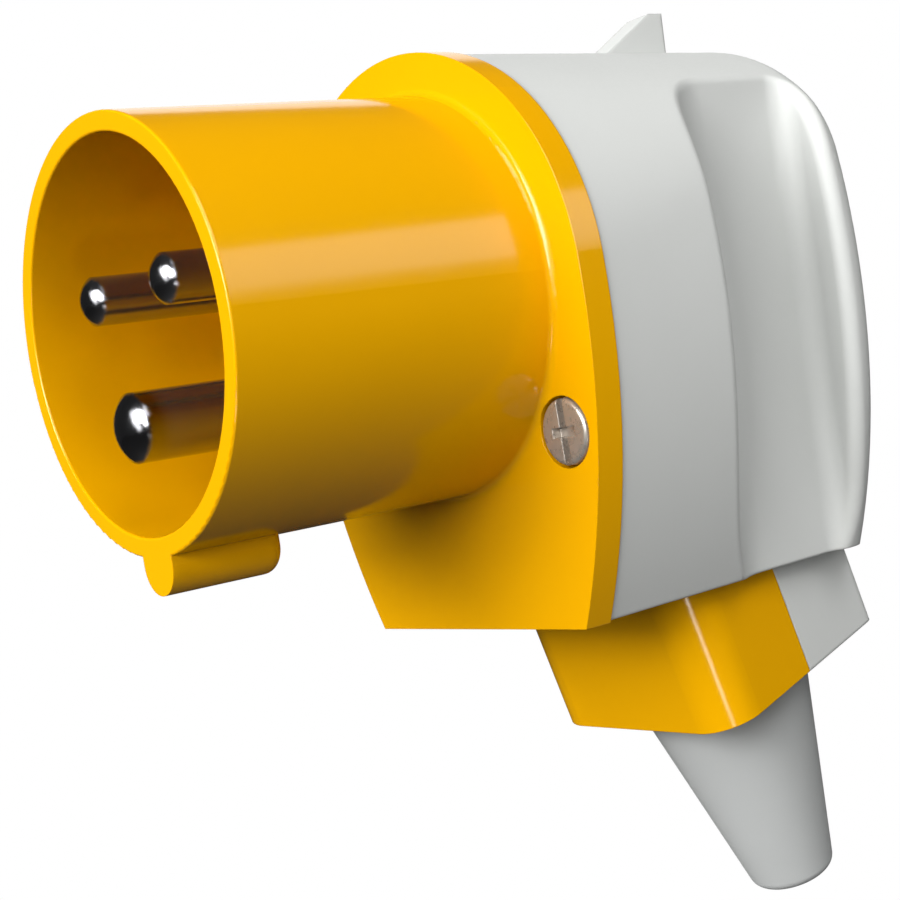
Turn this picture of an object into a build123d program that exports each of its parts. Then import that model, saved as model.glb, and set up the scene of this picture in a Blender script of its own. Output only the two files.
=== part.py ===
from build123d import *
import os
from math import asin, atan2, cos, radians, sin, tan

os.makedirs("parts", exist_ok=True)

# Frame, in millimetres: the origin is the centre of the shroud's front rim. The pins point
# towards -Y, the plug's back is towards +Y and the cable leaves downwards, towards -Z.
# Left and right are those of a person who looks at the pins, with +X to the right.

# Shroud round the pins, with the keying rib under it
shroud_radius = 21.75
shroud_wall = 2.05
shroud_length = 36.7
shroud_root_round = 0.8
rim_round = 0.25
well_floor_step = 0.5
key_width = 5.9
key_length = 12.75
key_reach = 25.45
key_corner = 1.4

# Contact pins on their pitch circle
pin_circle_radius = 8.88
power_pin_diameter = 5.0
earth_pin_diameter = 7.0
power_pin_recess = 0.55
earth_pin_recess = -1.7
power_pin_dome = 1.25
earth_pin_dome = 1.5
power_barrel_diameter = 7.8
earth_barrel_diameter = 8.8
pin_seat_step = 0.6
collar_step = 0.8
collar_thickness = 2.0
wire_hole_diameter = 3.8
wire_hole_depth = 10.0
pin_clearance = 0.08

# Flange of the front body and the outline that it shares with the housing
flange_thickness = 3.3
top_radius = 26.3
flank_radius = 78.0
flank_start_angle = 2.0
roof_edge_angle = 46.0
body_drop = 36.4
base_radius = 18.2
base_thickness = 2.0
lip_depth = 2.5
lip_wall = 1.6
lip_clearance = 0.2

# Contact carrier behind the base
carrier_radius = 17.0
carrier_depth = 15.0
terminal_setback = 4.5
terminal_window_diameter = 6.4
terminal_head_diameter = 5.6
terminal_head_height = 2.2
terminal_thread_diameter = 3.5
terminal_grip = 1.2
carrier_screw_circle = 12.5
carrier_screw_angle = 30.0
carrier_head_pocket = 3.5
carrier_screw_bite = 3.0

# Housing
housing_inset = 0.25
housing_length = 42.9
housing_wall = 2.4
side_draft = 1.0
back_radius = 102.0
back_edge_round = 3.5
back_shoulder_radius = 12.5
back_shoulder_angle = 9.2

# Grip scoop on each side of the housing, straight from top to bottom
grip_front = 17.5
grip_front_round = 7.4
grip_depth = 8.4
grip_floor_draft = 2.0
grip_rear_setback = 7.6
grip_rear_round = 2.0
grip_hook_angle = 68.0
grip_edge_round = 1.2

# Retaining nose on top of the housing
nose_width = 3.7
nose_toe = 26.9
nose_crest = 35.4
nose_heel = 37.6
nose_height = 5.2
nose_rake = 0.3

# Flange screws, the inserts that take them and the bosses
screw_side_distance = 6.35
screw_drop = 16.3
screw_head_diameter = 6.9
screw_head_height = 2.0
screw_head_proud = 0.15
screw_shank_diameter = 3.9
screw_shank_length = 9.0
screw_edge_round = 0.5
screw_slot_width = 1.0
screw_slot_depth = 1.1
screw_cross_length = 3.4
head_clearance = 0.25
shank_clearance = 0.25
insert_diameter = 5.5
insert_length = 8.0
insert_fit = 0.05
boss_wall = 1.0

# Sealing cord between flange and housing
seal_width = 1.0
seal_depth = 1.0
seal_edge_distance = 0.6
seal_clearance = 0.05

# Tilted neck: its front half belongs to the front body, its rear half to the housing
neck_tilt = 15.0
neck_setback = 31.0
neck_mouth_drop = 48.8
neck_front_width = 31.0
neck_rear_width = 26.2
neck_thickness = 29.0
neck_front_round = 5.0
neck_rear_round = 1.5
neck_wall = 2.2
neck_split = 0.8
neck_floor = 2.0
split_gap = 0.05
neck_gap = 0.15
neck_height = 21.0
tray_thickness = 2.0
tray_width = 24.0
tray_clearance = 0.3
tray_rib_height = 5.0

# Bend relief sleeve
sleeve_mouth_radius = 10.75
sleeve_length = 27.5
sleeve_tip_radius = 5.05
sleeve_tip_round = 1.4
sleeve_collar_radius = 11.8
sleeve_collar_height = 2.6
sleeve_bore_radius = 3.5
sleeve_throat_length = 14.0
sleeve_flare_radius = 7.2
sleeve_gap = 0.1

# Cable clamp inside the neck
cable_radius = 4.6
clamp_height = 7.8
clamp_bar_width = 5.0
clamp_bar_length = 21.0
clamp_bar_thickness = 3.6
clamp_bar_crown = 7.2
clamp_split = -1.0
clamp_screw_offset = 7.9
clamp_boss_radius = 2.7
clamp_cradle_thickness = 2.4
small_screw_diameter = 3.0
small_head_diameter = 5.4
small_head_height = 2.0
small_slot_width = 0.8
clamp_screw_bite = 8.0
thread_fit = 0.05

# How far a cutting tool runs past the face that it opens
overrun = 1.0

# Places that follow from the sizes above
joint_y = shroud_length + flange_thickness
crown_y = joint_y + housing_length
floor_y = shroud_length - well_floor_step
base_y = joint_y + base_thickness
carrier_y = base_y + carrier_depth
terminal_y = carrier_y - terminal_setback
draft_slope = tan(radians(side_draft))
flank_lean = radians(flank_start_angle)
flank_reach = flank_radius - top_radius
seat_depth = screw_head_height - screw_head_proud
grip_floor_x = top_radius - housing_inset - grip_depth
screw_offset_x = top_radius - screw_side_distance
screw_places = {"left": (-screw_offset_x, -screw_drop), "right": (screw_offset_x, -screw_drop)}
contacts = {
    "line": (power_pin_diameter, power_barrel_diameter, power_pin_recess, power_pin_dome, 30.0),
    "neutral": (power_pin_diameter, power_barrel_diameter, power_pin_recess, power_pin_dome, 150.0),
    "earth": (earth_pin_diameter, earth_barrel_diameter, earth_pin_recess, earth_pin_dome, 270.0),
}
tilt = radians(neck_tilt)
neck = Plane(
    origin=(0, joint_y + neck_setback, -neck_mouth_drop),
    x_dir=(1, 0, 0),
    z_dir=(0, -sin(tilt), cos(tilt)),
)


def across(y):
    """Plane across the plug at depth y, with X to the right and Z up."""
    return Plane(origin=(0, y, 0), x_dir=(1, 0, 0), z_dir=(0, -1, 0))


def slab(profile, front_y, rear_y):
    """Profile drawn across the plug, made solid from front_y back to rear_y."""
    return extrude(across(rear_y) * profile, amount=rear_y - front_y)


def rod(radius, front_y, rear_y, x=0.0, z=0.0):
    """Round bar along the pins' direction."""
    return slab(Pos(x, z) * Circle(radius), front_y, rear_y)


def on_circle(radius, angle):
    """Place across the plug, by radius and angle from +X."""
    return radius * cos(radians(angle)), radius * sin(radians(angle))


def body_outline(inset=0.0, shoulder=top_radius, start=flank_start_angle):
    """Roof, two shoulders, two long side arcs and a flat bottom, moved inwards by inset."""
    lean = radians(start)
    flank_centre = Vector(-flank_reach * cos(flank_lean), -flank_reach * sin(flank_lean))
    shoulder_centre = flank_centre + Vector(cos(lean), sin(lean)) * (flank_radius - shoulder)
    if shoulder < top_radius:
        drop = top_radius - shoulder_centre.Y
        roof = (shoulder_centre.X**2 + drop**2 - shoulder**2) / (2 * (drop - shoulder))
    else:
        roof = top_radius
    roof_centre = Vector(0, top_radius - roof)
    bottom = inset - body_drop
    low = asin((bottom - flank_centre.Y) / (flank_radius - inset))
    high = radians(roof_edge_angle)
    if shoulder < top_radius:
        high = atan2(shoulder_centre.Y - roof_centre.Y, shoulder_centre.X)

    def on(centre, radius, angle):
        return centre + Vector(cos(angle), sin(angle)) * (radius - inset)

    corner = on(flank_centre, flank_radius, low)
    right_side = ThreePointArc(
        corner, on(flank_centre, flank_radius, (low + lean) / 2), on(flank_centre, flank_radius, lean)
    )
    right_shoulder = ThreePointArc(
        right_side @ 1, on(shoulder_centre, shoulder, (lean + high) / 2), on(shoulder_centre, shoulder, high)
    )
    left_side = mirror(right_side, Plane.YZ)
    left_shoulder = mirror(right_shoulder, Plane.YZ)
    roof_arc = ThreePointArc(right_shoulder @ 1, on(roof_centre, roof, radians(90)), left_shoulder @ 1)
    floor = Line(left_side @ 0, corner)
    return make_face([right_side, right_shoulder, roof_arc, left_shoulder, left_side, floor])


def neck_section(inset=0.0):
    """Cross-section of the neck: a tapered block with large front corners."""
    front = neck_front_width / 2 - inset
    rear = neck_rear_width / 2 - inset
    half = neck_thickness / 2 - inset
    block = make_face(Polyline((-front, -half), (front, -half), (rear, half), (-rear, half), close=True))
    block = fillet(block.vertices().group_by(Axis.Y)[0], neck_front_round - inset)
    if inset < neck_rear_round:
        block = fillet(block.vertices().group_by(Axis.Y)[-1], neck_rear_round - inset)
    return block


def neck_block(inset, low, high):
    """Stretch of the neck, or of the space in it, in the neck's own frame."""
    return extrude(Pos(0, 0, low) * neck_section(inset), amount=high - low)


def neck_side(front, gap, low, high):
    """Half space of the neck in front of its split plane or behind it, as a large block."""
    reach = neck_thickness * 2
    centre = neck_split + (-gap - reach / 2 if front else gap + reach / 2)
    return Pos(0, centre, (low + high) / 2) * Box(neck_front_width * 2, reach, high - low)


def neck_mouth_hole(clearance):
    """Opening in the neck's lower wall, for the sleeve."""
    return Cylinder(sleeve_mouth_radius + clearance, 3 * neck_floor)


def shroud():
    """Round shroud with its well, and the keying rib that runs under it."""
    tube = rod(shroud_radius, 0, shroud_length + flange_thickness / 2)
    tube = fillet(tube.edges().filter_by(GeomType.CIRCLE).sort_by(Axis.Y)[0], rim_round)
    rib_radius = key_width / 2
    rib_centre = rib_radius - key_reach
    rib = slab(
        Pos(0, rib_centre) * Circle(rib_radius)
        + Pos(0, (rib_centre - shroud_radius + shroud_wall) / 2)
        * Rectangle(key_width, shroud_radius - shroud_wall + rib_centre),
        0,
        key_length,
    )
    rear_end = rib.edges().filter_by(Axis.X, reverse=True).group_by(Axis.Y)[-1].sort_by(Axis.Z)[0]
    rib = fillet(rear_end, key_corner)
    return tube + rib


def front_body():
    """Shroud, flange, contact base and the neck's front half, moulded in one."""
    body = shroud() + slab(body_outline(), shroud_length, joint_y)
    root = body.edges().filter_by(GeomType.CIRCLE).filter_by_position(
        Axis.Y, shroud_length - 0.01, shroud_length + 0.01
    )
    body = fillet(root.sort_by(SortBy.RADIUS)[0], shroud_root_round)
    body += rod(base_radius, joint_y, base_y)
    body -= rod(shroud_radius - shroud_wall, -overrun, floor_y)
    body = fillet(well_mouth(body), rim_round)

    lip_inset = housing_inset + housing_wall + lip_clearance
    lip = slab(body_outline(lip_inset) - body_outline(lip_inset + lip_wall), joint_y, joint_y + lip_depth)
    for x, z in screw_places.values():
        lip -= rod(boss_radius() + lip_clearance, joint_y, joint_y + lip_depth, x, z)
    body += lip
    body += neck_front_half() + tray()

    for diameter, barrel, recess, dome, angle in contacts.values():
        x, z = on_circle(pin_circle_radius, angle)
        body -= rod(diameter / 2 + pin_seat_step + pin_clearance, floor_y - overrun, base_y + overrun, x, z)
    for side in (-1, 1):
        x, z = carrier_screw_place(side)
        thread_hole = small_screw_diameter / 2 + thread_fit
        body -= rod(thread_hole, base_y - carrier_screw_bite, base_y + overrun, x, z)
    for x, z in screw_places.values():
        body -= rod(screw_shank_diameter / 2 + shank_clearance, shroud_length, joint_y + overrun, x, z)
        head_hole = screw_head_diameter / 2 + head_clearance
        body -= rod(head_hole, shroud_length - overrun, shroud_length + seat_depth, x, z)
    return body


def well_mouth(body):
    """Inner edge of the shroud's front rim."""
    rim = body.edges().filter_by(GeomType.CIRCLE).sort_by(Axis.Y)[:8]
    return rim.filter_by(lambda edge: abs(edge.radius - shroud_radius + shroud_wall) < rim_round / 2)


def boss_radius():
    """Outer radius of the boss round each insert."""
    return insert_diameter / 2 + boss_wall


def carrier_screw_place(side):
    """Place of a carrier screw, between two contacts."""
    x, z = on_circle(carrier_screw_circle, -carrier_screw_angle)
    return side * x, z


def neck_front_half():
    """Front wall and side walls of the neck, with their half of its floor."""
    shell = neck_block(0, 0, neck_height) & neck_side(True, split_gap, 0, neck_height)
    shell -= neck_block(neck_wall, neck_floor, neck_height + overrun)
    shell -= neck_mouth_hole(sleeve_gap)
    return neck.location * shell


def tray():
    """Floor and two ribs inside the housing, which carry the neck's front half."""
    low = housing_inset + housing_wall + tray_clearance - body_drop
    wall_top = neck_height * cos(tilt) - neck_mouth_drop - neck_thickness / 2 * sin(tilt)
    wall_y = joint_y + neck_setback - neck_thickness / 2 * cos(tilt) - neck_height * sin(tilt)
    rear = wall_y + neck_wall
    depth = rear - joint_y
    middle = (joint_y + rear) / 2
    plate = Pos(0, middle, low + tray_thickness / 2) * Box(tray_width, depth, tray_thickness)
    rib_height = min(tray_rib_height, wall_top - low)
    for side in (-1, 1):
        rib_x = side * (tray_width - tray_thickness) / 2
        plate += Pos(rib_x, middle, low + rib_height / 2) * Box(tray_thickness, depth, rib_height)
    return plate


def housing_blank(inset):
    """Drafted body with a gently curved, rounded back, moved inwards by inset."""
    end_y = crown_y + housing_wall
    front = across(joint_y) * body_outline(housing_inset + inset)
    rear_inset = housing_inset + inset + (end_y - joint_y) * draft_slope
    rear = across(end_y) * body_outline(rear_inset, back_shoulder_radius, back_shoulder_angle)
    blank = loft([front, rear], ruled=True)
    blank &= Pos(0, crown_y - back_radius, 0) * Cylinder(back_radius - inset, 4 * body_drop)
    if inset < back_edge_round:
        back_edges = blank.faces().sort_by(Axis.Y)[-1].edges().sort_by(Axis.Z)[1:]
        blank = fillet(back_edges, back_edge_round - inset)
    return blank


def grip_section(z, skin):
    """Plan of the right grip scoop at height z, made larger all round by skin."""
    floor_x = grip_floor_x + z * tan(radians(grip_floor_draft))
    front_centre = (floor_x + grip_front_round, joint_y + grip_front + grip_front_round)
    rear_centre = (floor_x + grip_rear_round, crown_y - grip_rear_setback)
    front_radius = grip_front_round + skin
    rear_radius = grip_rear_round + skin
    outside = top_radius + housing_wall
    front_wall = CenterArc(front_centre, front_radius, 180, 90)
    rear_wall = CenterArc(rear_centre, rear_radius, grip_hook_angle, 180 - grip_hook_angle)
    hook = rear_wall @ 0
    reach = (outside - hook.X) / tan(radians(grip_hook_angle))
    plan = [
        Line((outside, (front_wall @ 1).Y), front_wall @ 1),
        front_wall,
        Line(front_wall @ 0, rear_wall @ 1),
        rear_wall,
        Line(hook, (outside, hook.Y - reach)),
        Line((outside, hook.Y - reach), (outside, (front_wall @ 1).Y)),
    ]
    return Pos(0, 0, z) * make_face(plan)


def grip_scoops(skin=0.0):
    """Space of both grip scoops, open at the top and at the bottom."""
    right = loft([grip_section(-2 * body_drop, skin), grip_section(2 * top_radius, skin)], ruled=True)
    return right + mirror(right, Plane.YZ)


def on_grip_ridge(edge):
    """True for the outer edges along the rear wall of a scoop."""
    beside_floor = abs(edge.center().X) > grip_floor_x + grip_edge_round / 2
    return beside_floor and edge.center().Y > crown_y - grip_rear_setback - grip_rear_round


def nose():
    """Ramped nose with a steep rear face, on top of the housing."""
    roof = top_radius - housing_inset - (nose_crest * draft_slope)
    low = roof - housing_wall / 2
    side_view = Polyline(
        (joint_y + nose_toe, roof),
        (joint_y + nose_crest, roof + nose_height),
        (joint_y + nose_heel, roof + nose_height),
        (joint_y + nose_heel - nose_rake, roof),
        (joint_y + nose_heel - nose_rake, low),
        (joint_y + nose_toe, low),
        close=True,
    )
    face = Plane(origin=(-nose_width / 2, 0, 0), x_dir=(0, 1, 0), z_dir=(1, 0, 0)) * make_face(side_view)
    return extrude(face, amount=nose_width)


def housing():
    """Grey housing with its grips, retaining nose, screw bosses and the neck's rear half."""
    blank = housing_blank(0)
    shell = blank - grip_scoops()
    shell = fillet(new_edges(blank, combined=shell).filter_by(on_grip_ridge), grip_edge_round)
    shell += nose()
    neck_top = neck_mouth_drop - body_drop + neck_wall
    rear_half = neck_block(0, 0, neck_top) & neck_side(False, split_gap, 0, neck_top)
    shell += neck.location * rear_half

    cavity = housing_blank(housing_wall) - grip_scoops(housing_wall)
    for x, z in screw_places.values():
        cavity -= rod(boss_radius(), joint_y, joint_y + insert_length + boss_wall, x, z)
    shell -= cavity
    neck_space = neck_block(neck_wall, neck_floor, neck_height)
    neck_space -= clamp_seat()
    shell -= neck.location * (neck_space - above_neck())
    front_opening = neck_block(-neck_gap, -neck_floor, neck_height)
    front_opening &= neck_side(True, -split_gap, -neck_floor, neck_height)
    shell -= neck.location * front_opening
    shell -= neck.location * neck_mouth_hole(sleeve_gap)
    for x, z in screw_places.values():
        shell -= rod(insert_diameter / 2 + insert_fit, joint_y - overrun, joint_y + insert_length, x, z)
    for side in (-1, 1):
        hole_radius = small_screw_diameter / 2 + thread_fit
        hole_x = side * clamp_screw_offset
        shell -= neck.location * across_neck(hole_radius, clamp_split - overrun, clamp_screw_bite, hole_x)
    shell -= seal_loop(0, 0)
    return shell


def above_neck():
    """Space above the housing's floor at the back, which the neck's hollow leaves alone."""
    height = neck_height
    low = (neck_mouth_drop - body_drop) + neck_wall
    return Pos(0, neck_thickness / 2, low + height) * Box(neck_front_width * 2, neck_wall, height)


def across_neck(radius, front, rear, x):
    """Round bar across the neck, from front to rear, at the clamp's height."""
    bar = Cylinder(radius, rear - front)
    return Pos(x, (front + rear) / 2, clamp_height) * Rot(90, 0, 0) * bar


def clamp_seat():
    """Two screw bosses and the cradle between them, on the neck's rear wall."""
    rear = neck_thickness / 2
    seat = across_neck(clamp_boss_radius, clamp_split, rear, -clamp_screw_offset)
    seat += across_neck(clamp_boss_radius, clamp_split, rear, clamp_screw_offset)
    cradle_depth = rear - neck_split
    cradle = Pos(0, neck_split + cradle_depth / 2, clamp_height) * Box(
        2 * clamp_screw_offset, cradle_depth, clamp_cradle_thickness
    )
    return seat + (cradle - Pos(0, 0, clamp_height) * Cylinder(cable_radius, 2 * clamp_cradle_thickness))


def seal_loop(side_gap, end_gap):
    """Ring that follows the housing's front edge: the groove, or the cord that fills it."""
    outer = housing_inset + seal_edge_distance + side_gap
    inner = housing_inset + seal_edge_distance + seal_width - side_gap
    return slab(body_outline(outer) - body_outline(inner), joint_y, joint_y + seal_depth - end_gap)


def contact_pin(diameter, barrel, tip, dome, angle):
    """Turned pin: domed tip, thicker seat through the base, collar behind it and wire barrel."""
    radius = diameter / 2
    seat = radius + pin_seat_step
    collar = barrel / 2 + collar_step
    outline = [
        TangentArc((0, tip), (radius, tip + dome), tangent=(1, 0)),
        Polyline(
            (radius, tip + dome),
            (radius, floor_y),
            (seat, floor_y),
            (seat, base_y),
            (collar, base_y),
            (collar, base_y + collar_thickness),
            (barrel / 2, base_y + collar_thickness),
            (barrel / 2, carrier_y),
            (wire_hole_diameter / 2, carrier_y),
            (wire_hole_diameter / 2, carrier_y - wire_hole_depth),
            (0, carrier_y - wire_hole_depth),
            (0, tip),
        ),
    ]
    pin = revolve(make_face(outline), axis=Axis.Y)
    x, z = on_circle(pin_circle_radius, angle)
    tapped = radial_bar(terminal_thread_diameter / 2 + thread_fit, 0, barrel, angle)
    return Pos(x, 0, z) * pin - tapped


def radial_bar(radius, inner, outer, angle):
    """Round bar that points outwards from a contact's axis, at the terminal's depth."""
    start = pin_circle_radius + inner
    length = outer - inner
    bar = Pos(start + length / 2, 0, 0) * Rot(0, 90, 0) * Cylinder(radius, length)
    return Pos(0, terminal_y, 0) * Rot(0, -angle, 0) * bar


def terminal_screw(barrel, angle):
    """Slotted screw that clamps the wire in a contact's barrel."""
    seat = barrel / 2 + terminal_grip
    thread = radial_bar(terminal_thread_diameter / 2, wire_hole_diameter / 2 - terminal_grip, seat, angle)
    head = radial_bar(terminal_head_diameter / 2, seat, seat + terminal_head_height, angle)
    slot_base = pin_circle_radius + seat + terminal_head_height
    slot = Pos(slot_base, 0, 0) * Box(terminal_head_height, terminal_head_diameter * 2, small_slot_width)
    return thread + head - Pos(0, terminal_y, 0) * Rot(0, -angle, 0) * slot


def contact_carrier():
    """Insulating block with a pocket and bore for each contact, and screw windows."""
    block = rod(carrier_radius, base_y, carrier_y)
    for diameter, barrel, recess, dome, angle in contacts.values():
        x, z = on_circle(pin_circle_radius, angle)
        collar = barrel / 2 + collar_step + pin_clearance
        block -= rod(collar, base_y - overrun, base_y + collar_thickness + pin_clearance, x, z)
        block -= rod(barrel / 2 + pin_clearance, base_y, carrier_y + overrun, x, z)
        block -= radial_bar(terminal_window_diameter / 2, 0, carrier_radius, angle)
    for side in (-1, 1):
        x, z = carrier_screw_place(side)
        block -= rod(small_screw_diameter / 2 + pin_clearance, base_y - overrun, carrier_y + overrun, x, z)
        pocket = small_head_diameter / 2 + head_clearance
        block -= rod(pocket, carrier_y - carrier_head_pocket, carrier_y + overrun, x, z)
    return block


def carrier_screw(side):
    """Slotted screw that holds the carrier against the front body's base."""
    x, z = carrier_screw_place(side)
    head_y = carrier_y - carrier_head_pocket
    screw = rod(small_screw_diameter / 2, base_y - carrier_screw_bite, head_y, x, z)
    screw += rod(small_head_diameter / 2, head_y, head_y + small_head_height, x, z)
    slot = Pos(x, head_y + small_head_height, z) * Box(
        small_head_diameter * 2, small_head_height, small_slot_width
    )
    return screw - slot


def housing_screw(side):
    """Flange screw with a low rounded head, a full slot and a short cross recess."""
    x, z = screw_places[side]
    face_y = shroud_length - screw_head_proud
    seat_y = shroud_length + seat_depth
    head = rod(screw_head_diameter / 2, face_y, seat_y)
    head = fillet(head.edges().sort_by(Axis.Y)[0], screw_edge_round)
    shank = rod(screw_shank_diameter / 2, seat_y, seat_y + screw_shank_length)
    slot = Pos(0, face_y, 0) * Box(screw_slot_width, 2 * screw_slot_depth, screw_head_diameter * 2)
    cross = Pos(0, face_y, 0) * Box(screw_cross_length, 2 * screw_slot_depth, screw_slot_width)
    return Pos(x, 0, z) * (head + shank - slot - cross)


def thread_insert(side):
    """Brass insert pressed into the housing's boss."""
    x, z = screw_places[side]
    sleeve = rod(insert_diameter / 2, joint_y, joint_y + insert_length, x, z)
    hole = screw_shank_diameter / 2 + thread_fit
    return sleeve - rod(hole, joint_y - overrun, joint_y + insert_length + overrun, x, z)


def bend_relief_sleeve():
    """Conical rubber sleeve with an inner collar and an open bore for the cable."""
    slope = (sleeve_mouth_radius - sleeve_tip_radius) / sleeve_length
    collar_low = neck_floor + sleeve_gap
    collar_top = collar_low + sleeve_collar_height
    cone_top = sleeve_mouth_radius
    throat = sleeve_throat_length - sleeve_length
    half = make_face(
        Polyline(
            (sleeve_bore_radius, -sleeve_length),
            (sleeve_tip_radius, -sleeve_length),
            (cone_top, 0),
            (cone_top, collar_low),
            (sleeve_collar_radius, collar_low),
            (sleeve_collar_radius, collar_top),
            (sleeve_flare_radius, collar_top),
            (sleeve_bore_radius, throat),
            close=True,
        )
    )
    end = half.vertices().filter_by_position(Axis.Y, -sleeve_length - slope, slope - sleeve_length)
    tip = end.sort_by(Axis.X)[-1]
    half = fillet(tip, sleeve_tip_round)
    return neck.location * revolve(Plane.XZ * half, axis=Axis.Z)


def cable_clamp_bar():
    """Arched bar that presses the cable into the cradle."""
    ear = Pos(0, clamp_split - clamp_bar_thickness / 2, clamp_height)
    bar = ear * Box(clamp_bar_length, clamp_bar_thickness, clamp_bar_width)
    crown_depth = clamp_bar_crown - clamp_bar_thickness / 2
    crown = Pos(0, clamp_split - clamp_bar_thickness / 2 - crown_depth / 2, clamp_height) * Box(
        2 * cable_radius, crown_depth, clamp_bar_width
    )
    bar += crown
    bar -= Pos(0, 0, clamp_height) * Cylinder(cable_radius, clamp_bar_width * 2)
    for side in (-1, 1):
        hole_radius = small_screw_diameter / 2 + pin_clearance
        bar -= across_neck(hole_radius, -neck_thickness, neck_thickness, side * clamp_screw_offset)
    return neck.location * bar


def clamp_screw(side):
    """Slotted screw through an ear of the clamp bar."""
    x = side * clamp_screw_offset
    seat = clamp_split - clamp_bar_thickness
    screw = across_neck(small_screw_diameter / 2, seat, clamp_screw_bite - overrun, x)
    screw += across_neck(small_head_diameter / 2, seat - small_head_height, seat, x)
    slot = Pos(x, seat - small_head_height, clamp_height) * Box(
        small_slot_width, small_head_height, small_head_diameter * 2
    )
    return neck.location * (screw - slot)


pieces = {
    "front_body": front_body(),
    "housing": housing(),
    "contact_carrier": contact_carrier(),
    "housing_seal": seal_loop(seal_clearance, seal_clearance),
    "cable_clamp_bar": cable_clamp_bar(),
    "bend_relief_sleeve": bend_relief_sleeve(),
}
for name, (diameter, barrel, recess, dome, angle) in contacts.items():
    pieces[name + "_pin"] = contact_pin(diameter, barrel, recess, dome, angle)
    pieces[name + "_terminal_screw"] = terminal_screw(barrel, angle)
for name, side in (("left", -1), ("right", 1)):
    pieces["housing_screw_" + name] = housing_screw(name)
    pieces["thread_insert_" + name] = thread_insert(name)
    pieces["carrier_screw_" + name] = carrier_screw(side)
    pieces["clamp_screw_" + name] = clamp_screw(side)

for name, piece in pieces.items():
    export_step(piece, "parts/" + name + ".step")
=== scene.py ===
import math

import bpy
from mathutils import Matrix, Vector

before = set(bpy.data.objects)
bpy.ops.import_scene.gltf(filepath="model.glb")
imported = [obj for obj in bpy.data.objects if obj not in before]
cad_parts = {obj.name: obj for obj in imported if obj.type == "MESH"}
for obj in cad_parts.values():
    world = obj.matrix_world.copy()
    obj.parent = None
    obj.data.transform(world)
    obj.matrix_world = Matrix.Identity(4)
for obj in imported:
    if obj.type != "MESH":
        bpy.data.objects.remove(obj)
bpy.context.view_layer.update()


# Camera
# The plug is seen from its right, a little in front of its side, by a camera that is rolled.
# Angles are in degrees, counted from the pins' direction and from the horizontal.
camera_place = (0.159107, -0.079711, -0.011547)
camera_azimuth = 53.7535
camera_elevation = 1.4583
camera_roll = 9.5341
camera_data = bpy.data.cameras.new("photo_camera")
camera_data.sensor_width = 36.0
camera_data.lens = 72.41
camera_data.clip_start = 0.01
camera = bpy.data.objects.new("photo_camera", camera_data)
bpy.context.scene.collection.objects.link(camera)
camera.location = camera_place
camera.rotation_euler = (math.radians(90.0 - camera_elevation), 0.0, math.radians(camera_azimuth))
camera.rotation_euler.rotate_axis("Z", math.radians(-camera_roll))
bpy.context.scene.camera = camera
bpy.context.scene.view_settings.view_transform = "Standard"


# Studio room
# The plug is held by its socket, so it stands free in a bright plain room, far above the floor.
# Room and floor are white to the camera and dim in reflections, as the dark pins show.
room_dimness = 0.03
floor_grey = 0.62
floor_size = 30.0
floor_height = -2.8


def link(tree, source, target):
    """Joins two sockets of a node tree."""
    tree.links.new(source, target)


room = bpy.data.worlds.new("studio_room")
bpy.context.scene.world = room
room.use_nodes = True
tree = room.node_tree
tree.nodes.clear()
paths = tree.nodes.new("ShaderNodeLightPath")
seen = tree.nodes.new("ShaderNodeMath")
seen.operation = "MAXIMUM"
white = tree.nodes.new("ShaderNodeBackground")
white.inputs["Color"].default_value = (1, 1, 1, 1)
white.inputs["Strength"].default_value = 1.0
dim = tree.nodes.new("ShaderNodeBackground")
dim.inputs["Color"].default_value = (1, 1, 1, 1)
dim.inputs["Strength"].default_value = room_dimness
blend = tree.nodes.new("ShaderNodeMixShader")
room_out = tree.nodes.new("ShaderNodeOutputWorld")
link(tree, paths.outputs["Is Camera Ray"], seen.inputs[0])
link(tree, paths.outputs["Is Transmission Ray"], seen.inputs[1])
link(tree, seen.outputs[0], blend.inputs[0])
link(tree, dim.outputs[0], blend.inputs[1])
link(tree, white.outputs[0], blend.inputs[2])
link(tree, blend.outputs[0], room_out.inputs["Surface"])

bpy.ops.object.select_all(action="DESELECT")
bpy.ops.mesh.primitive_plane_add(size=floor_size, location=(0, 0, floor_height))
floor = bpy.context.active_object
floor.name = "studio_floor"
pale = bpy.data.materials.new("pale_floor")
pale.use_nodes = True
tree = pale.node_tree
tree.nodes.clear()
paths = tree.nodes.new("ShaderNodeLightPath")
lit = tree.nodes.new("ShaderNodeBsdfDiffuse")
lit.inputs["Color"].default_value = (floor_grey, floor_grey, floor_grey, 1)
glow = tree.nodes.new("ShaderNodeEmission")
glow.inputs["Strength"].default_value = 1.0
blend = tree.nodes.new("ShaderNodeMixShader")
floor_out = tree.nodes.new("ShaderNodeOutputMaterial")
link(tree, paths.outputs["Is Camera Ray"], blend.inputs[0])
link(tree, lit.outputs[0], blend.inputs[1])
link(tree, glow.outputs[0], blend.inputs[2])
link(tree, blend.outputs[0], floor_out.inputs["Surface"])
floor.data.materials.append(pale)


# Studio lamps
# Four soft lamps stand above and in front of the plug, with a weak one at its side.
# Dim panels give the shroud its pale band and its light upper edge, the neck the streak down
# its front corner and the ends of the pins their long highlight.
plug_middle = (0, 0.03, -0.005)
neck_corner = (0.013, 0.056, -0.045)
highlight_slant = 35.0


def soft_lamp(name, place, size, watts, target=plug_middle):
    """Area lamp of the given width and height in metres, facing the target."""
    data = bpy.data.lights.new(name, "AREA")
    data.shape = "RECTANGLE"
    data.size = size[0]
    data.size_y = size[1]
    data.energy = watts
    lamp = bpy.data.objects.new(name, data)
    bpy.context.scene.collection.objects.link(lamp)
    lamp.location = place
    facing = Vector(target) - lamp.location
    lamp.rotation_euler = facing.to_track_quat("-Z", "Y").to_euler()
    return lamp


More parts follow.
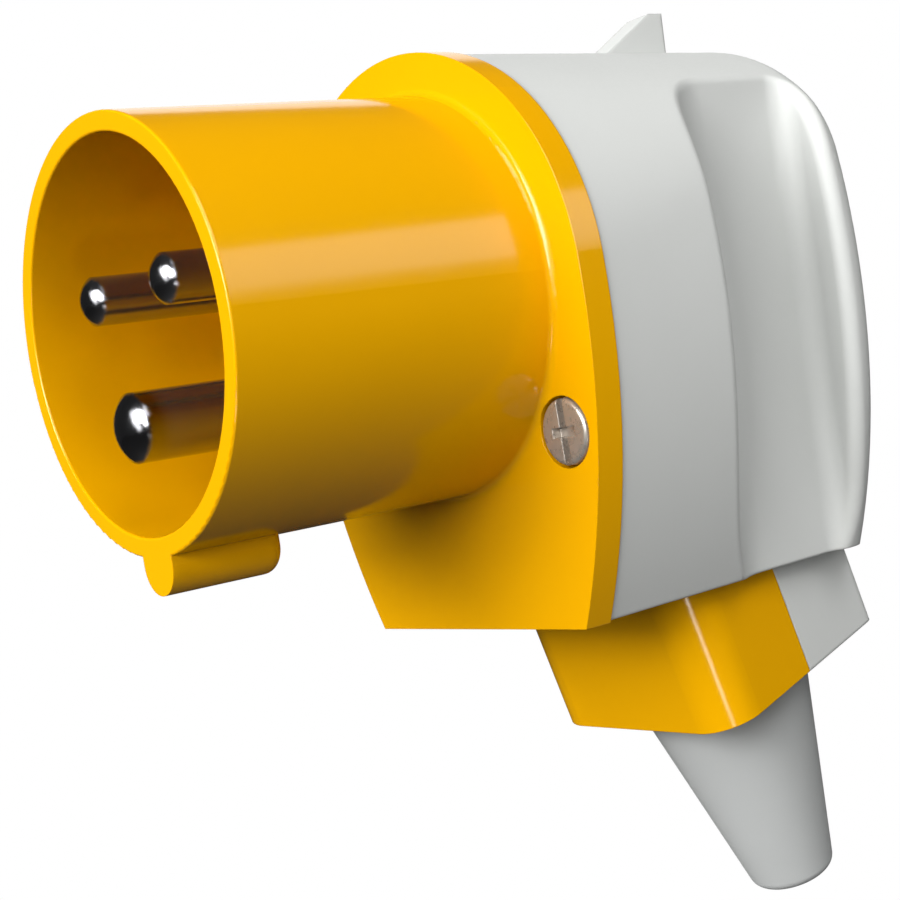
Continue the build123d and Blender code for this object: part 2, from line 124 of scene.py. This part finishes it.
soft_lamp("upper_right_lamp", (0.55, 0.0, 0.60), (0.5, 0.5), 4.25)
soft_lamp("front_lamp", (0.10, -0.88, 0.36), (0.4, 0.4), 8.4)
soft_lamp("front_right_lamp", (0.47, -0.80, 0.22), (0.4, 0.4), 7.1)
front_left = soft_lamp("front_left_lamp", (-0.35, -0.70, 0.62), (0.4, 0.4), 3.6)
front_left.visible_glossy = False
side_fill = soft_lamp("side_fill_lamp", (0.95, -0.10, -0.06), (0.4, 0.4), 1.05)
side_fill.visible_glossy = False
soft_lamp("band_panel", (0.80, 0.62, 0.35), (0.46, 0.34), 1.25)
soft_lamp("rear_panel", (-1.15, 0.95, 0.60), (1.5, 0.7), 3.6)
soft_lamp("streak_panel", (0.75, -0.37, -0.47), (0.12, 0.14), 0.55, neck_corner)
tall_panel = soft_lamp("tall_panel", (-0.08, -0.92, 0.22), (0.20, 0.80), 1.5)
tall_panel.rotation_euler.rotate_axis("Z", math.radians(highlight_slant))


# Front body
# Shroud, keying rib, flange and the neck's front half, moulded in one from yellow plastic.
# It is polished in the mould, with a faint ripple, and is held to the housing by two screws.
noise_range = (0.3, 0.7)
bevel_samples = 6


def noise(tree, coords, scale, detail=2.0, roughness=0.5):
    """Noise of so many patterns per metre, from 0 to 1, over the given coordinates."""
    texture = tree.nodes.new("ShaderNodeTexNoise")
    texture.inputs["Scale"].default_value = scale
    texture.inputs["Detail"].default_value = detail
    texture.inputs["Roughness"].default_value = roughness
    link(tree, coords, texture.inputs["Vector"])
    return texture.outputs["Fac"]


def spread(tree, source, source_range, result_range):
    """Turns values over the source's range into values over the result's range."""
    ramp = tree.nodes.new("ShaderNodeMapRange")
    ramp.inputs["From Min"].default_value = source_range[0]
    ramp.inputs["From Max"].default_value = source_range[1]
    ramp.inputs["To Min"].default_value = result_range[0]
    ramp.inputs["To Max"].default_value = result_range[1]
    link(tree, source, ramp.inputs["Value"])
    return ramp.outputs["Result"]


def two_tone(tree, source, tones):
    """Colour that drifts between two close tones."""
    mix = tree.nodes.new("ShaderNodeMix")
    mix.data_type = "RGBA"
    mix.inputs["A"].default_value = (*tones[0], 1)
    mix.inputs["B"].default_value = (*tones[1], 1)
    link(tree, source, mix.inputs["Factor"])
    return mix.outputs["Result"]


def grain(tree, height, strength, depth, edge_round):
    """Bump of a height pattern, over edges that are softened by edge_round in metres."""
    bump = tree.nodes.new("ShaderNodeBump")
    bump.inputs["Strength"].default_value = strength
    bump.inputs["Distance"].default_value = depth
    link(tree, height, bump.inputs["Height"])
    if edge_round:
        bevel = tree.nodes.new("ShaderNodeBevel")
        bevel.samples = bevel_samples
        bevel.inputs["Radius"].default_value = edge_round
        link(tree, bevel.outputs["Normal"], bump.inputs["Normal"])
    return bump.outputs["Normal"]


def finish(name, tones, drift, roughness, texture, bump, edge_round=0.0):
    """Material whose colour drifts with one noise and whose roughness and bump follow another.

    Drift and texture are the settings of a noise, roughness is its lowest and highest value,
    and bump is its strength and its depth in metres.
    """
    material = bpy.data.materials.new(name)
    material.use_nodes = True
    tree = material.node_tree
    shader = tree.nodes["Principled BSDF"]
    coords = tree.nodes.new("ShaderNodeTexCoord").outputs["Object"]
    colour_noise = noise(tree, coords, *drift)
    fine_noise = noise(tree, coords, *texture)
    link(tree, two_tone(tree, colour_noise, tones), shader.inputs["Base Color"])
    link(tree, spread(tree, fine_noise, noise_range, roughness), shader.inputs["Roughness"])
    link(tree, grain(tree, fine_noise, *bump, edge_round), shader.inputs["Normal"])
    return material, shader


def dress(material, *node_names):
    """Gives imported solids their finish."""
    for name in node_names:
        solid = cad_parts[name]
        solid.data.materials.clear()
        solid.data.materials.append(material)


yellow, shader = finish(
    "yellow_moulded",
    tones=((0.655, 0.315, 0.0), (0.685, 0.332, 0.0)),
    drift=(90.0,),
    roughness=(0.12, 0.16),
    texture=(700.0, 3.0),
    bump=(0.15, 0.00002),
    edge_round=0.00015,
)
shader.inputs["Specular IOR Level"].default_value = 0.40
dress(yellow, "front_body")


# Contact pins
# Three turned brass pins with domed ends, plated with bright nickel, the earth pin thicker.
# Each sits through the base of the front body and is held from behind by the carrier.
turning_stretch = 30.0
turning_scale = 300.0
polished_to = 0.0010
shank_from = 0.0025
polished_metal = 1.0
shank_metal = 0.965
plated, shader = finish(
    "bright_nickel",
    tones=((0.34, 0.34, 0.36), (0.40, 0.40, 0.42)),
    drift=(400.0,),
    roughness=(0.10, 0.16),
    texture=(400.0,),
    bump=(0.10, 0.000008),
    edge_round=0.0008,
)
tree = plated.node_tree
coords = tree.nodes.new("ShaderNodeTexCoord").outputs["Object"]
turning = tree.nodes.new("ShaderNodeMapping")
turning.inputs["Scale"].default_value = (1.0, turning_stretch, 1.0)
link(tree, coords, turning.inputs["Vector"])
turned_lines = noise(tree, turning.outputs["Vector"], turning_scale)
link(tree, turned_lines, tree.nodes["Bump"].inputs["Height"])
along = tree.nodes.new("ShaderNodeSeparateXYZ")
link(tree, coords, along.inputs[0])
metal = spread(tree, along.outputs["Y"], (polished_to, shank_from), (polished_metal, shank_metal))
link(tree, metal, shader.inputs["Metallic"])
dress(plated, "line_pin", "neutral_pin", "earth_pin")


# Flange screws
# Two steel screws with low rounded heads and combined recesses, plated with bright nickel.
# They pass the flange in counterbored holes and turn into brass inserts in the housing.
bright_steel, shader = finish(
    "bright_screw_steel",
    tones=((0.46, 0.41, 0.36), (0.58, 0.53, 0.47)),
    drift=(900.0, 4.0, 0.6),
    roughness=(0.22, 0.36),
    texture=(900.0, 4.0, 0.6),
    bump=(0.25, 0.00001),
    edge_round=0.0002,
)
shader.inputs["Metallic"].default_value = 0.7
dress(bright_steel, "housing_screw_left", "housing_screw_right")


# Housing
# Hollow grey shell with a scoop for the fingers on each side, a retaining nose on its roof
# and the rear half of the neck, moulded in one with a fine spark-eroded grain.
grey, shader = finish(
    "grey_moulded",
    tones=((0.50, 0.51, 0.495), (0.53, 0.54, 0.525)),
    drift=(60.0,),
    roughness=(0.48, 0.60),
    texture=(2600.0, 3.0, 0.6),
    bump=(0.25, 0.00003),
    edge_round=0.0005,
)
shader.inputs["Specular IOR Level"].default_value = 0.35
dress(grey, "housing")


# Bend relief sleeve
# Smooth cone of soft grey rubber, whose collar is caught between the neck's two halves.
# It is moulded in one and has an open bore for the cable.
rubber, shader = finish(
    "grey_rubber",
    tones=((0.40, 0.41, 0.405), (0.43, 0.44, 0.435)),
    drift=(120.0,),
    roughness=(0.50, 0.62),
    texture=(1800.0, 3.0),
    bump=(0.2, 0.00002),
)
shader.inputs["Specular IOR Level"].default_value = 0.3
dress(rubber, "bend_relief_sleeve")


# Carrier and terminals
# Dark heat-resisting block behind the base, with the contacts' screw terminals in windows.
# Two zinc-plated screws hold it against the front body.
dark, shader = finish(
    "dark_carrier_plastic",
    tones=((0.020, 0.020, 0.022), (0.032, 0.032, 0.034)),
    drift=(1500.0, 3.0),
    roughness=(0.42, 0.55),
    texture=(1500.0, 3.0),
    bump=(0.2, 0.00002),
)
dress(dark, "contact_carrier")

zinc, shader = finish(
    "zinc_plated_steel",
    tones=((0.52, 0.53, 0.54), (0.62, 0.63, 0.64)),
    drift=(600.0, 3.0),
    roughness=(0.28, 0.40),
    texture=(600.0, 3.0),
    bump=(0.2, 0.00001),
)
shader.inputs["Metallic"].default_value = 1.0
dress(zinc, "line_terminal_screw", "neutral_terminal_screw", "earth_terminal_screw")
dress(zinc, "carrier_screw_left", "carrier_screw_right")


# Inserts, seal and cable clamp
# Brass inserts in the housing's bosses, a rubber cord in its front groove, and a moulded bar
# that two screws press on the cable inside the neck.
brass, shader = finish(
    "turned_brass",
    tones=((0.62, 0.44, 0.16), (0.70, 0.52, 0.22)),
    drift=(500.0, 3.0),
    roughness=(0.25, 0.38),
    texture=(500.0, 3.0),
    bump=(0.2, 0.00001),
)
shader.inputs["Metallic"].default_value = 1.0
dress(brass, "thread_insert_left", "thread_insert_right")

seal_rubber, shader = finish(
    "black_seal_rubber",
    tones=((0.012, 0.012, 0.012), (0.022, 0.022, 0.022)),
    drift=(800.0, 3.0),
    roughness=(0.6, 0.75),
    texture=(800.0, 3.0),
    bump=(0.2, 0.00002),
)
dress(seal_rubber, "housing_seal")
dress(grey, "cable_clamp_bar")
dress(zinc, "clamp_screw_left", "clamp_screw_right")
